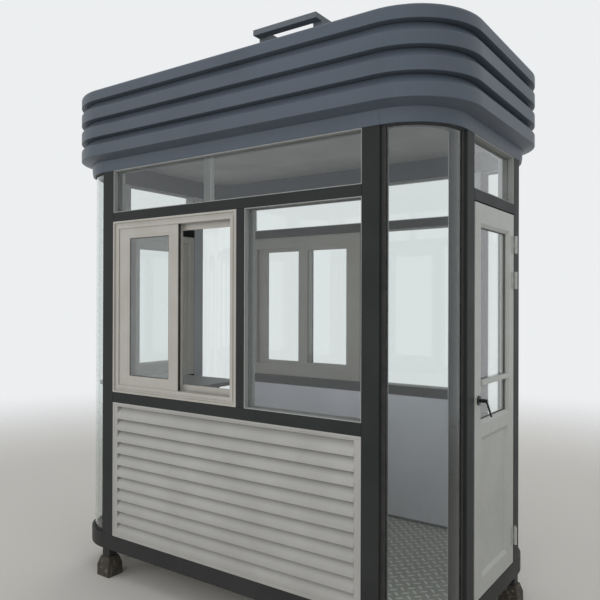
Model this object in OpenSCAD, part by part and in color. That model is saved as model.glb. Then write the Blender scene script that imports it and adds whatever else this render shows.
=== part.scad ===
// Security guard booth: glazed upper walls, louvred lower walls, banded overhanging roof.
// Millimetres. Z is up, the front faces -Y and the door end faces +X.
// The origin is on the ground, under the middle of the plan.

/* [Cabin] */
// Length over the end posts
length = 2450; // [2300:10:2800]
// Width over the front and rear posts
width = 1360; // [1340:10:1600]
// From the cabin's corner to its first post, which is also the base ring's corner radius
corner_setback = 290; // [280:5:310]
// Side of a square wall post
post_w = 90; // [80:1:100]
// From the post faces back to the glass
glazing_recess = 32; // [20:1:40]
// Thickness of the fixed glass
glass_t = 6; // [4:1:10]
// From the base ring's face in to the curved corner glass
corner_glass_inset = 20; // [10:1:30]
// Left post to the mullion, the bay of the sliding window
window_bay_w = 960; // [800:10:1000]
// Width of the mullion
mullion_w = 52; // [40:1:70]
// Thickness of the wall lining panels
lining_t = 50; // [40:1:50]
// Height of the skirting strip
skirting_h = 14; // [10:1:60]
// Thickness of the skirting strip
skirting_t = 8; // [5:1:12]

/* [Levels] */
// Height of a foot block
foot_h = 115; // [90:1:150]
// Height of a leg between foot block and base ring
leg_h = 45; // [30:1:80]
// Height of the base ring
base_h = 90; // [80:1:120]
// Height of the louvred panel
louvre_h = 794; // [700:1:850]
// Height of the sill rail
sill_h = 61; // [50:1:80]
// Height of the window opening
window_h = 1011; // [900:1:1100]
// Height of the transom rail
transom_h = 54; // [40:1:70]
// Height of the glass over the transom rail
light_h = 250; // [180:1:300]
// Height of the head ring, up to the ceiling
head_h = 120; // [110:1:160]

/* [Base] */
// Side of a foot block
foot_w = 105; // [90:1:120]
// Side of a foot block's top
foot_top_w = 75; // [62:1:85]
// Height of a foot block's sloping top part
foot_slope_h = 50; // [30:1:60]
// Side of a square leg
leg_w = 60; // [40:1:60]
// From the cabin's face in to a leg's centre
leg_inset = 32; // [31:1:45]
// From a post's centre to its leg's centre, along the wall
leg_shift = 15; // [0:1:15]
// Thickness of the floor plate
floor_t = 8; // [4:1:12]
// Width of a floor joist
joist_w = 50; // [40:1:80]
// Height of a floor joist
joist_h = 70; // [50:1:70]
// Number of floor joists
joist_count = 5; // [3:1:7]
// Gap around the floor plate
floor_gap = 0.3; // [0.2:0.1:1]

/* [Roof] */
// Fascia beyond the post faces
roof_overhang = 70; // [50:1:100]
// Height from one fascia band to the next
band_pitch = 110; // [100:1:130]
// Height of a band's flat face
band_flat = 61; // [50:1:75]
// Depth of the groove between two bands
groove_depth = 38; // [20:1:44]
// From a band's lower edge down to the bottom of the groove
groove_drop = 3; // [2:1:8]
// Height of the top band's face
top_band_h = 65; // [60:1:80]
// Radius of the roof's top edge
roof_edge_r = 20; // [5:1:30]
// From the ceiling down to the fascia's lower edge
fascia_drop = 32; // [20:1:50]
// Rise of the soffit from the head ring to the fascia
soffit_rise = 22; // [10:1:30]
// Head ring beyond the post faces
neck_proud = 5; // [2:1:8]
// Height of the head ring's lower chamfer
neck_chamfer_h = 26; // [10:1:30]
// Gap between the roof core and the bands around it
band_gap = 0.3; // [0.2:0.1:0.5]
// Thickness of the ceiling panel
ceiling_t = 20; // [10:1:30]
// Thickness of the roof deck
deck_t = 8; // [5:1:12]

/* [Roof frame] */
// Length of the frame on the roof
frame_l = 386; // [300:1:450]
// Depth of the frame on the roof
frame_d = 386; // [300:1:450]
// Middle of the frame, right of the cabin's middle
frame_x = 373; // [200:1:400]
// From the cabin's front face back to the frame
frame_inset = 50; // [40:1:120]
// Width of the frame's bars
frame_bar_w = 52; // [40:1:60]
// Height of the frame's bars
frame_bar_h = 28; // [20:1:40]
// Height of the frame's legs
frame_leg_h = 98; // [60:1:120]

/* [Sliding windows] */
// Width of the window frame's outer lip
win_lip = 25; // [20:1:30]
// Width of the frame's front band, from the bay's edge
win_band = 46; // [40:1:55]
// Thickness of the frame's front band
win_band_t = 5; // [3:0.5:5]
// Width of the frame's middle rib, from the bay's edge
win_face = 48; // [40:1:55]
// Height of the frame's inner flange at sill and head, from the bay's edge
win_flange = 80; // [60:1:85]
// Thickness of the frame's inner flange
win_flange_t = 7.5; // [5:0.5:10]
// Gap between a sash and the band, rib or flange beside it
rib_clear = 0.5; // [0.3:0.1:1]
// Width of one sash
sash_w = 499; // [470:1:510]
// Thickness of one sash
sash_t = 17; // [14:1:24]
// Gap between the two sashes, front to back
sash_gap = 4; // [3:0.5:8]
// Frame's outer face back to the first sash
sash_inset = 10; // [6:1:10]
// Gap beside a closed sash, inside the lip
sash_side_gap = 9; // [3:1:12]
// Gap over and under a sash, inside the lip
sash_end_gap = 0.8; // [0.5:0.1:3]
// Width of a sash's rails and of the stile beside the other sash
sash_stile = 78; // [60:1:85]
// How much wider the stile in the jamb is
sash_tuck = 20; // [0:1:25]
// Thickness of the sash glass
sash_glass_t = 5; // [4:1:8]
// How far the open inner sash stands to the right of the outer one
open_shift = 0; // [0:1:60]
// Width of the glazing bar in the front transom light
light_bar_w = 51; // [40:1:60]
// Depth of the glazing bar in the front transom light
light_bar_d = 30; // [20:1:40]
// From the left post to the glazing bar's middle
light_bar_at = 725; // [600:5:800]

/* [Louvred panels] */
// Thickness of a louvred panel
louvre_t = 40; // [35:1:40]
// Width of the panel's side borders
louvre_side = 38; // [25:1:50]
// Height of the panel's top and bottom borders
louvre_rail = 22; // [15:1:30]
// Number of slats
slat_count = 11; // [9:1:13]
// Depth of the slats
slat_depth = 22; // [15:1:26]
// Height of a slat's front edge
slat_lip = 5; // [3:1:8]
// Height of the shadow gap under a slat
slat_gap = 12; // [6:1:16]

/* [Desk] */
// Length of the desk along the front wall
desk_l = 705; // [600:5:740]
// Depth of the desk from the front wall
desk_d = 530; // [450:5:560]
// Thickness of the desk top
desk_t = 25; // [18:1:30]
// Desk top below the window frame's inner flange
desk_drop = 35; // [20:1:60]
// Depth and height of a desk bracket
bracket_d = 380; // [300:5:420]
// Thickness of a desk bracket
bracket_t = 30; // [20:1:40]
// From the post's centre to the desk's left end
desk_left = 190; // [150:1:195]

/* [Door] */
// Thickness of the door leaf
leaf_t = 50; // [40:1:55]
// Gap beside the leaf on the latch side
leaf_gap_latch = 9; // [8:1:12]
// Gap beside the leaf on the hinge side
leaf_gap_hinge = 6; // [6:1:8]
// Gap over and under the leaf
leaf_gap_z = 6; // [5:1:8]
// Width of the leaf's stiles
stile_w = 95; // [80:1:110]
// Height of the leaf's top rail
top_rail = 110; // [90:1:130]
// Height of the leaf's middle rail
mid_rail = 79; // [60:1:100]
// Height of the leaf's bottom rail
bottom_rail = 84; // [70:1:120]
// Height of the leaf's lower panel
panel_h = 667; // [600:1:700]
// Depth of the sunk lower panel on each side
panel_sink = 12; // [8:1:16]
// Leaf's outer face back to its glass
leaf_glass_sink = 20; // [12:1:25]
// Leaf's bottom up to the glazing bar's middle
leaf_bar_at = 1007; // [980:1:1100]
// Height of the glazing bar across the leaf's glass
leaf_bar_h = 26; // [20:1:40]
// Glazing bar beyond the leaf's face
leaf_bar_proud = 4; // [0:1:6]
// Width of the door stop strips
stop_w = 20; // [15:1:30]
// Thickness of the door stop strips
stop_t = 20; // [15:1:25]
// Gap between the leaf and its stops
stop_gap = 7; // [6:1:10]

/* [Hinges] */
// Radius of a hinge barrel
knuckle_r = 9; // [8:0.5:10]
// Height of a hinge
hinge_h = 92; // [80:1:110]
// Gap between two knuckles
knuckle_gap = 1; // [0.5:0.1:2]
// Radius of a hinge pin
pin_r = 3.5; // [3:0.1:4.5]
// Radial clearance around a hinge pin
pin_clear = 0.1; // [0.05:0.01:0.3]
// Barrel's centre beyond the cabin's end face
axis_out = 10; // [10:0.5:12]
// Width of a hinge plate beyond the barrel
flap_w = 26; // [20:1:35]
// Thickness of a hinge plate
flap_t = 3; // [2:0.5:4]
// Leaf's bottom to the middle of the lowest hinge
hinge_low = 143; // [120:1:200]
// Leaf's top down to the middle of the top hinge
hinge_top = 159; // [140:1:200]
// Gap between the top hinge and the one under it
hinge_pair_gap = 98; // [50:1:300]

/* [Door handle] */
// Leaf's bottom to the lever's spindle
handle_at = 930; // [915:1:950]
// Radius of the spindle
spindle_r = 5; // [4:0.5:7]
// Radial clearance around the spindle
spindle_clear = 0.1; // [0.05:0.01:0.3]
// Radius of a rose
rose_r = 22; // [18:1:26]
// Thickness of a rose
rose_t = 8; // [6:1:10]
// Radius of a lever's hub
hub_r = 9; // [9:0.5:12]
// Length of a lever's hub
hub_l = 36; // [30:1:45]
// Radius of a lever
lever_r = 5; // [4:0.5:7]
// Length of a lever from its spindle
lever_l = 108; // [80:1:120]
// Slope of the resting lever below level
lever_droop = 50; // [0:1:55]
// Gap between a rose and its lever's hub
hub_gap = 0.5; // [0.3:0.1:1]

/* [Hidden] */
$fn = 96;

// Half sizes of the cabin, and the centres that the curved corners share.
hx = length / 2;
hy = width / 2;
corner_x = hx - corner_setback;
corner_y = hy - corner_setback;
ring_r = corner_setback;
ring_in_r = ring_r - post_w;
neck_r = ring_r + neck_proud;
fascia_r = ring_r + roof_overhang;
band_in_r = neck_r + band_gap;

// Height of a band's shoulder, from its flat face up to the groove over it.
shoulder_h = band_pitch - band_flat - groove_drop;

// Centres of the posts of the long walls and of the ends.
post_x = corner_x - post_w / 2;
post_y = corner_y - post_w / 2;

// How far a cut runs past the faces that it opens.
cut = 1;

// Levels, from the ground up.
z_leg = foot_h;
z_base = z_leg + leg_h;
z_floor = z_base + base_h;
z_sill = z_floor + louvre_h;
z_window = z_sill + sill_h;
z_transom = z_window + window_h;
z_light = z_transom + transom_h;
z_head = z_light + light_h;
z_ceiling = z_head + head_h;
z_band = z_ceiling - fascia_drop;
z_roof = z_band + 3 * band_pitch + top_band_h;

// Bays of the long walls and of the ends.
bay_x0 = -(corner_x - post_w);
bay_x1 = -bay_x0;
bay_w = bay_x1 - bay_x0;
mullion_x0 = bay_x0 + window_bay_w;
mullion_x1 = mullion_x0 + mullion_w;
end_bay_w = 2 * (corner_y - post_w);

// Sliding windows.
sash_z0 = z_window + win_lip + sash_end_gap;
sash_z1 = z_transom - win_lip - sash_end_gap;
sash_x0 = bay_x0 + win_lip + sash_side_gap;
sash_x1 = mullion_x0 - win_lip - sash_side_gap;
sash_y0 = sash_inset;
sash_y1 = sash_y0 + sash_t + sash_gap;
band_y = sash_y0 - rib_clear - win_band_t;
rib_y = sash_y0 + sash_t + rib_clear;
flange_y = sash_y1 + sash_t + rib_clear;

// Door leaf, between the end posts at the +X end.
leaf_y0 = -end_bay_w / 2 + leaf_gap_latch;
leaf_y1 = end_bay_w / 2 - leaf_gap_hinge;
leaf_z0 = z_floor + leaf_gap_z;
leaf_z1 = z_transom - leaf_gap_z;
leaf_x0 = hx - leaf_t;
panel_z0 = leaf_z0 + bottom_rail;
panel_z1 = panel_z0 + panel_h;
leaf_glass_z0 = panel_z1 + mid_rail;
leaf_glass_z1 = leaf_z1 - top_rail;
leaf_glass_x = hx - leaf_glass_sink - glass_t;
axis_x = hx + axis_out;
axis_y = (leaf_y1 + end_bay_w / 2) / 2;
hinge_high = leaf_z1 - leaf_z0 - hinge_top;
hinge_levels = [hinge_low, hinge_high - hinge_h - hinge_pair_gap, hinge_high];
knuckle_h = (hinge_h - 2 * knuckle_gap) / 3;
// From a barrel to the full-height part of its hinge plates.
flap_clear = 2;
spindle_y = leaf_y0 + stile_w / 2;
spindle_z = leaf_z0 + handle_at;
// From a lever's side to the end of its hub.
hub_end = 1;

// Slats: their front edges behind the border, and their top edges' depth as a share of slat_depth.
slat_set = 2;
slat_top = 0.8;

// Desk.
desk_x0 = -post_x - desk_left;
desk_z1 = z_window + win_flange - desk_drop;
desk_z0 = desk_z1 - desk_t;

// A straight run of a profile, outwards along +X, centred on Y.
module run(l) {
    rotate([90, 0, 0]) linear_extrude(height = l, center = true) children();
}

// A profile, drawn as (radius from the corner centres, height), at the plan's four corners.
module at_corners() {
    for (q = [0 : 3])
        translate([(q == 0 || q == 3 ? 1 : -1) * corner_x, (q < 2 ? 1 : -1) * corner_y, 0])
            rotate([0, 0, 90 * q])
                rotate_extrude(angle = 90) children();
}

// The same profile along the plan's four straight sides, apart from one another.
module at_sides() {
    for (s = [0, 180])
        rotate([0, 0, s]) {
            translate([corner_x, 0, 0]) run(2 * corner_y) children();
            translate([0, corner_y, 0]) rotate([0, 0, 90]) run(2 * corner_x) children();
        }
}

// The same profile all the way around the plan.
module around() {
    at_corners() children();
    at_sides() children();
}

// A flat slab with the plan's rounded corners.
module slab(r, z0, z1) {
    around() translate([0, z0]) square([r, z1 - z0]);
    translate([-corner_x, -corner_y, z0]) cube([2 * corner_x, 2 * corner_y, z1 - z0]);
}

// A block between two opposite corners.
module block(a, b) {
    translate(a) cube(b - a);
}

// A rectangular frame in the XZ plane, from y = 0 back to y = d.
module face_frame(x0, x1, z0, z1, d, side, ends) {
    difference() {
        block([x0, 0, z0], [x1, d, z1]);
        block([x0 + side, -cut, z0 + ends], [x1 - side, d + cut, z1 - ends]);
    }
}

// Puts what faces -Y on the front wall, and its mirror image on the rear wall.
module on_front() {
    translate([0, -hy, 0]) children();
}

module on_rear() {
    mirror([0, 1, 0]) on_front() children();
}

// Puts what faces -Y and is centred on X on the left end.
module on_left_end() {
    translate([-hx, 0, 0]) rotate([0, 0, -90]) children();
}

module on_right_end() {
    translate([hx, 0, 0]) rotate([0, 0, 90]) children();
}

// Base.

// Repeats a piece under each of the eight posts.
module under_posts() {
    for (sx = [-1, 1], sy = [-1, 1]) {
        translate([sx * (post_x + leg_shift), sy * (hy - leg_inset), 0]) children();
        translate([sx * (hx - leg_inset), sy * (post_y + leg_shift), 0]) children();
    }
}

module foot_profile() {
    polygon([[-foot_w / 2, 0], [foot_w / 2, 0], [foot_w / 2, foot_h - foot_slope_h],
             [foot_top_w / 2, foot_h], [-foot_top_w / 2, foot_h],
             [-foot_w / 2, foot_h - foot_slope_h]]);
}

module foot_blocks() {
    color([0.16, 0.14, 0.13])
        under_posts()
            intersection() {
                run(foot_w) foot_profile();
                rotate([0, 0, 90]) run(foot_w) foot_profile();
            }
}

module legs() {
    color([0.15, 0.15, 0.15])
        under_posts() translate([-leg_w / 2, -leg_w / 2, z_leg]) cube([leg_w, leg_w, leg_h]);
}

module base_section() {
    translate([ring_in_r, z_base]) square([post_w, base_h]);
}

module base_beams() {
    color([0.2, 0.2, 0.2]) at_sides() base_section();
}

module base_corners() {
    color([0.2, 0.2, 0.2]) at_corners() base_section();
}

module floor_joists() {
    pitch = (2 * corner_x - joist_w) / (joist_count - 1);
    joist_hy = corner_y + ring_in_r;
    color([0.2, 0.2, 0.2])
        for (i = [0 : joist_count - 1])
            translate([-corner_x + i * pitch, -joist_hy, z_floor - floor_t - joist_h])
                cube([joist_w, 2 * joist_hy, joist_h]);
}

module floor_plate() {
    color([0.72, 0.73, 0.74]) slab(ring_in_r - floor_gap, z_floor - floor_t, z_floor);
}

// Posts and rails.

module post(x, y) {
    translate([x - post_w / 2, y - post_w / 2, z_floor]) cube([post_w, post_w, z_head - z_floor]);
}

module wall_posts() {
    color([0.16, 0.16, 0.16])
        for (sx = [-1, 1], sy = [-1, 1]) post(sx * post_x, sy * (hy - post_w / 2));
}

module end_posts() {
    color([0.16, 0.16, 0.16])
        for (sx = [-1, 1], sy = [-1, 1]) post(sx * (hx - post_w / 2), sy * post_y);
}

module mullion() {
    block([mullion_x0, 0, z_window], [mullion_x1, post_w, z_transom]);
}

module mullions() {
    color([0.16, 0.16, 0.16]) {
        on_front() mullion();
        on_rear() mullion();
    }
}

// A rail across a bay, as deep as the posts.
module rail(w, z0, z1) {
    block([-w / 2, 0, z0], [w / 2, post_w, z1]);
}

module sill_rails() {
    color([0.16, 0.16, 0.16]) {
        on_front() rail(bay_w, z_sill, z_window);
        on_rear() rail(bay_w, z_sill, z_window);
        on_left_end() rail(end_bay_w, z_sill, z_window);
    }
}

module transom_rails() {
    color([0.2, 0.21, 0.22]) {
        on_front() rail(bay_w, z_transom, z_light);
        on_rear() rail(bay_w, z_transom, z_light);
        on_left_end() rail(end_bay_w, z_transom, z_light);
        on_right_end() rail(end_bay_w, z_transom, z_light);
    }
}

// Roof.

module head_section() {
    polygon([[ring_in_r, z_head], [ring_r, z_head], [neck_r, z_head + neck_chamfer_h],
             [neck_r, z_ceiling], [ring_in_r, z_ceiling]]);
}

module head_beams() {
    color([0.24, 0.25, 0.27]) at_sides() head_section();
}

module head_corners() {
    color([0.24, 0.25, 0.27]) at_corners() head_section();
}

module ceiling_panel() {
    color([0.75, 0.76, 0.78]) slab(neck_r, z_ceiling, z_ceiling + ceiling_t);
}

module roof_core() {
    color([0.8, 0.8, 0.76]) slab(neck_r, z_ceiling + ceiling_t, z_roof - deck_t);
}

module roof_deck() {
    color([0.27, 0.29, 0.32]) slab(neck_r, z_roof - deck_t, z_roof);
}

// A band's shoulder, from the top of its flat face in and up to the groove over it.
function shoulder(z0) =
    [[fascia_r, z0 + band_flat], [fascia_r - groove_depth, z0 + band_flat + shoulder_h],
     [band_in_r, z0 + band_flat + shoulder_h]];

// One band's section: a shoulder over the flat face, and the groove's roof below it.
module band_section(z0) {
    polygon(concat([[band_in_r, z0 - groove_drop], [fascia_r - groove_depth, z0 - groove_drop],
                    [fascia_r, z0]],
                   shoulder(z0)));
}

// The top band, with a rounded upper edge.
module fascia_band_1() {
    z0 = z_band + 3 * band_pitch;
    color([0.27, 0.29, 0.32])
        around() {
            polygon([[band_in_r, z0 - groove_drop], [fascia_r - groove_depth, z0 - groove_drop],
                     [fascia_r, z0], [fascia_r, z_roof - roof_edge_r],
                     [fascia_r - roof_edge_r, z_roof - roof_edge_r],
                     [fascia_r - roof_edge_r, z_roof], [band_in_r, z_roof]]);
            intersection() {
                translate([fascia_r - roof_edge_r, z_roof - roof_edge_r]) circle(r = roof_edge_r);
                translate([fascia_r - roof_edge_r, z_roof - roof_edge_r]) square(roof_edge_r);
            }
        }
}

module fascia_band_2() {
    color([0.27, 0.29, 0.32]) around() band_section(z_band + 2 * band_pitch);
}

module fascia_band_3() {
    color([0.27, 0.29, 0.32]) around() band_section(z_band + band_pitch);
}

// The lowest band, with the soffit that slopes in to the head ring.
module fascia_band_4() {
    color([0.27, 0.29, 0.32])
        around()
            polygon(concat([[band_in_r, z_band - soffit_rise], [fascia_r, z_band]], shoulder(z_band)));
}

// A square frame of flat bars on four legs, the legs just inside the front and rear bars.
module roof_frame() {
    z_bar = z_roof + frame_leg_h;
    color([0.27, 0.29, 0.31])
        translate([frame_x, -hy + frame_inset + frame_d / 2, 0]) {
            difference() {
                translate([-frame_l / 2, -frame_d / 2, z_bar]) cube([frame_l, frame_d, frame_bar_h]);
                translate([-frame_l / 2 + frame_bar_w, -frame_d / 2 + frame_bar_w, z_bar - cut])
                    cube([frame_l - 2 * frame_bar_w, frame_d - 2 * frame_bar_w, frame_bar_h + 2 * cut]);
            }
            for (sx = [-1, 1], sy = [-1, 1])
                translate([sx * (frame_l - frame_bar_w) / 2 - frame_bar_w / 2,
                           sy * (frame_d - 3 * frame_bar_w) / 2 - frame_bar_w / 2, z_roof])
                    cube([frame_bar_w, frame_bar_w, frame_leg_h]);
        }
}

// Glass.

module corner_glass() {
    r = ring_r - corner_glass_inset;
    color([0.7, 0.82, 0.82, 0.35])
        at_corners() translate([r - glass_t, z_floor]) square([glass_t, z_head - z_floor]);
}

// A pane set back from the post faces.
module pane(x0, x1, z0, z1) {
    block([x0, glazing_recess, z0], [x1, glazing_recess + glass_t, z1]);
}

module transom_glass() {
    color([0.7, 0.82, 0.82, 0.35]) {
        on_front() pane(bay_x0, bay_x1, z_light, z_head);
        on_rear() pane(bay_x0, bay_x1, z_light, z_head);
        on_left_end() pane(-end_bay_w / 2, end_bay_w / 2, z_light, z_head);
        on_right_end() pane(-end_bay_w / 2, end_bay_w / 2, z_light, z_head);
    }
}

module transom_glazing_bar() {
    x = bay_x0 + light_bar_at;
    y = glazing_recess + glass_t;
    color([0.78, 0.79, 0.78])
        on_front()
            block([x - light_bar_w / 2, y, z_light], [x + light_bar_w / 2, y + light_bar_d, z_head]);
}

module fixed_glass() {
    color([0.7, 0.82, 0.82, 0.35]) {
        on_front() pane(mullion_x1, bay_x1, z_window, z_transom);
        on_rear() pane(mullion_x1, bay_x1, z_window, z_transom);
        on_left_end() pane(-end_bay_w / 2, end_bay_w / 2, z_window, z_transom);
    }
}

// Sliding windows.

// One of the frame's rings, between two depths.
module frame_ring(y0, y1, side, ends) {
    translate([0, y0, 0])
        face_frame(bay_x0, mullion_x0, z_window, z_transom, y1 - y0, side, ends);
}

// A lip as deep as the frame, a band before the sashes, a rib between them and a flange behind.
module window_frame() {
    color([0.82, 0.81, 0.76]) {
        frame_ring(0, flange_y + win_flange_t, win_lip, win_lip);
        frame_ring(band_y, band_y + win_band_t, win_band, win_band);
        frame_ring(rib_y, sash_y1 - rib_clear, win_face, win_face);
        frame_ring(flange_y, flange_y + win_flange_t, win_face, win_flange);
    }
}

// What a sash's frame leaves open, between two depths. Tuck is how much wider its left stile is.
module sash_opening(x0, y0, y1, tuck) {
    block([x0 + sash_stile + tuck, y0, sash_z0 + sash_stile],
          [x0 + sash_w - sash_stile - sash_tuck + tuck, y1, sash_z1 - sash_stile]);
}

module sash(x0, y0, tuck) {
    color([0.82, 0.81, 0.76])
        difference() {
            block([x0, y0, sash_z0], [x0 + sash_w, y0 + sash_t, sash_z1]);
            sash_opening(x0, y0 - cut, y0 + sash_t + cut, tuck);
        }
}

module sash_pane(x0, y0, tuck) {
    y = y0 + (sash_t - sash_glass_t) / 2;
    color([0.7, 0.82, 0.82, 0.35]) sash_opening(x0, y, y + sash_glass_t, tuck);
}

module front_window_frame() {
    on_front() window_frame();
}

module front_sash_outer() {
    on_front() sash(sash_x0, sash_y0, sash_tuck);
}

// The inner sash stands slid open behind the outer one.
module front_sash_inner() {
    on_front() sash(sash_x0 + open_shift, sash_y1, 0);
}

module front_sash_glass() {
    on_front() {
        sash_pane(sash_x0, sash_y0, sash_tuck);
        sash_pane(sash_x0 + open_shift, sash_y1, 0);
    }
}

module rear_window_frame() {
    on_rear() window_frame();
}

module rear_sash_outer() {
    on_rear() sash(sash_x0, sash_y0, sash_tuck);
}

// The rear window is closed: its inner sash stands at the mullion.
module rear_sash_inner() {
    on_rear() sash(sash_x1 - sash_w, sash_y1, 0);
}

module rear_sash_glass() {
    on_rear() {
        sash_pane(sash_x0, sash_y0, sash_tuck);
        sash_pane(sash_x1 - sash_w, sash_y1, 0);
    }
}

// Lower walls.

// Slatted face, drawn as (depth behind the panel's face, height), front at 0.
function slat_points(pitch) =
    [for (i = [0 : slat_count - 1]) for (k = [0 : 3])
        k == 0 ? [slat_depth, louvre_rail + i * pitch] :
        k == 1 ? [slat_set, louvre_rail + i * pitch + slat_gap] :
        k == 2 ? [slat_set, louvre_rail + i * pitch + slat_gap + slat_lip] :
        [slat_top * slat_depth, louvre_rail + (i + 1) * pitch]];

module louvre_panel(w) {
    pitch = (louvre_h - 2 * louvre_rail) / slat_count;
    color([0.86, 0.87, 0.87])
        translate([0, 0, z_floor]) {
            rotate([0, 0, 90])
                run(w - 2 * louvre_side)
                    polygon(concat([[louvre_t, 0], [0, 0], [0, louvre_rail]],
                                   slat_points(pitch),
                                   [[0, louvre_h - louvre_rail], [0, louvre_h], [louvre_t, louvre_h]]));
            for (s = [-1, 1])
                translate([s * (w - louvre_side) / 2 - louvre_side / 2, 0, 0])
                    cube([louvre_side, louvre_t, louvre_h]);
        }
}

module louvre_panels() {
    on_front() louvre_panel(bay_w);
    on_rear() louvre_panel(bay_w);
    on_left_end() louvre_panel(end_bay_w);
}

module lining_panel(w) {
    block([-w / 2, louvre_t, z_floor], [w / 2, louvre_t + lining_t, z_sill]);
}

module lining_panels() {
    color([0.85, 0.86, 0.9]) {
        on_front() lining_panel(bay_w);
        on_rear() lining_panel(bay_w);
        on_left_end() lining_panel(end_bay_w);
    }
}

module skirting_strip(w) {
    y = louvre_t + lining_t;
    block([-w / 2, y, z_floor], [w / 2, y + skirting_t, z_floor + skirting_h]);
}

module skirting() {
    color([0.25, 0.27, 0.3]) {
        on_front() skirting_strip(bay_w);
        on_rear() skirting_strip(bay_w);
        on_left_end() skirting_strip(end_bay_w);
    }
}

// Desk.

module desk_top() {
    color([0.6, 0.6, 0.58])
        on_front() block([desk_x0, post_w, desk_z0], [desk_x0 + desk_l, post_w + desk_d, desk_z1]);
}

// Triangular brackets, one on the post and one on the lining.
module desk_brackets() {
    color([0.3, 0.3, 0.3])
        on_front()
            for (x = [-post_x, desk_x0 + desk_l - 2 * bracket_t])
                translate([x, post_w, desk_z0])
                    rotate([0, 0, 90])
                        run(bracket_t)
                            polygon([[0, 0], [bracket_d, 0], [bracket_d, -bracket_t],
                                     [bracket_t, -bracket_d], [0, -bracket_d]]);
}

// Door.

module door_stops() {
    x1 = leaf_x0 - stop_gap;
    x0 = x1 - stop_t;
    y = end_bay_w / 2;
    color([0.15, 0.15, 0.15])
        difference() {
            block([x0, -y, z_floor], [x1, y, z_transom]);
            block([x0 - cut, -y + stop_w, z_floor - cut], [x1 + cut, y - stop_w, z_transom - stop_w]);
        }
}

// The post's half of one hinge: two knuckles on a plate that clears the leaf's knuckle.
module post_hinge() {
    z1 = hinge_h / 2;
    z0 = z1 - knuckle_h;
    difference() {
        union() {
            for (z = [-z1, z0]) {
                translate([axis_x, axis_y, z]) cylinder(r = knuckle_r, h = knuckle_h);
                block([hx, axis_y + pin_r, z],
                      [hx + flap_t, axis_y + knuckle_r + flap_w, z + knuckle_h]);
            }
            block([hx, axis_y + knuckle_r + flap_clear, -z1],
                  [hx + flap_t, axis_y + knuckle_r + flap_w, z1]);
        }
        translate([axis_x, axis_y, -z1 - cut]) cylinder(r = pin_r + pin_clear, h = hinge_h + 2 * cut);
    }
}

// The leaf's half of one hinge: the middle knuckle, its plate and the pin.
module leaf_hinge() {
    z1 = knuckle_h / 2;
    translate([axis_x, axis_y, -z1]) cylinder(r = knuckle_r, h = knuckle_h);
    translate([axis_x, axis_y, -hinge_h / 2]) cylinder(r = pin_r, h = hinge_h);
    block([hx, axis_y - knuckle_r - flap_w, -z1], [hx + flap_t, axis_y - pin_r, z1]);
    block([hx, axis_y - knuckle_r - flap_w, -hinge_h / 2],
          [hx + flap_t, axis_y - knuckle_r - flap_clear, hinge_h / 2]);
}

module frame_hinges() {
    color([0.85, 0.85, 0.83])
        for (z = hinge_levels) translate([0, 0, leaf_z0 + z]) post_hinge();
}

module door_hinges() {
    color([0.85, 0.85, 0.83])
        for (z = hinge_levels) translate([0, 0, leaf_z0 + z]) leaf_hinge();
}

// What a cut between the leaf's stiles takes away.
module leaf_cut(x0, x1, z0, z1) {
    block([x0, leaf_y0 + stile_w, z0], [x1, leaf_y1 - stile_w, z1]);
}

module door_leaf() {
    color([0.88, 0.88, 0.87])
        difference() {
            block([leaf_x0, leaf_y0, leaf_z0], [hx, leaf_y1, leaf_z1]);
            leaf_cut(leaf_x0 - cut, hx + cut, leaf_glass_z0, leaf_glass_z1);
            leaf_cut(hx - panel_sink, hx + cut, panel_z0, panel_z1);
            leaf_cut(leaf_x0 - cut, leaf_x0 + panel_sink, panel_z0, panel_z1);
            translate([leaf_x0 - cut, spindle_y, spindle_z])
                rotate([0, 90, 0]) cylinder(r = spindle_r + spindle_clear, h = leaf_t + 2 * cut);
        }
}

module door_glass() {
    color([0.7, 0.82, 0.82, 0.35])
        block([leaf_glass_x, leaf_y0 + stile_w, leaf_glass_z0],
              [leaf_glass_x + glass_t, leaf_y1 - stile_w, leaf_glass_z1]);
}

module door_glazing_bar() {
    z = leaf_z0 + leaf_bar_at;
    color([0.88, 0.88, 0.87])
        block([leaf_glass_x + glass_t, leaf_y0 + stile_w, z - leaf_bar_h / 2],
              [hx + leaf_bar_proud, leaf_y1 - stile_w, z + leaf_bar_h / 2]);
}

module door_roses() {
    color([0.2, 0.2, 0.2])
        for (x = [leaf_x0 - rose_t, hx])
            translate([x, spindle_y, spindle_z])
                rotate([0, 90, 0])
                    difference() {
                        cylinder(r = rose_r, h = rose_t);
                        translate([0, 0, -cut])
                            cylinder(r = spindle_r + spindle_clear, h = rose_t + 2 * cut);
                    }
}

// Both levers on their shared spindle, sloping down towards the hinges.
module door_lever() {
    out = leaf_t / 2 + rose_t + hub_gap;
    color([0.12, 0.12, 0.12])
        translate([hx - leaf_t / 2, spindle_y, spindle_z]) {
            rotate([0, 90, 0]) cylinder(r = spindle_r, h = 2 * (out + hub_l / 2), center = true);
            for (s = [0, 1])
                mirror([s, 0, 0])
                    translate([out, 0, 0]) {
                        rotate([0, 90, 0]) cylinder(r = hub_r, h = hub_l);
                        translate([hub_l - lever_r - hub_end, 0, 0])
                            rotate([-90 - lever_droop, 0, 0]) {
                                cylinder(r = lever_r, h = lever_l - lever_r);
                                translate([0, 0, lever_l - lever_r]) sphere(r = lever_r);
                            }
                    }
        }
}

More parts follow.
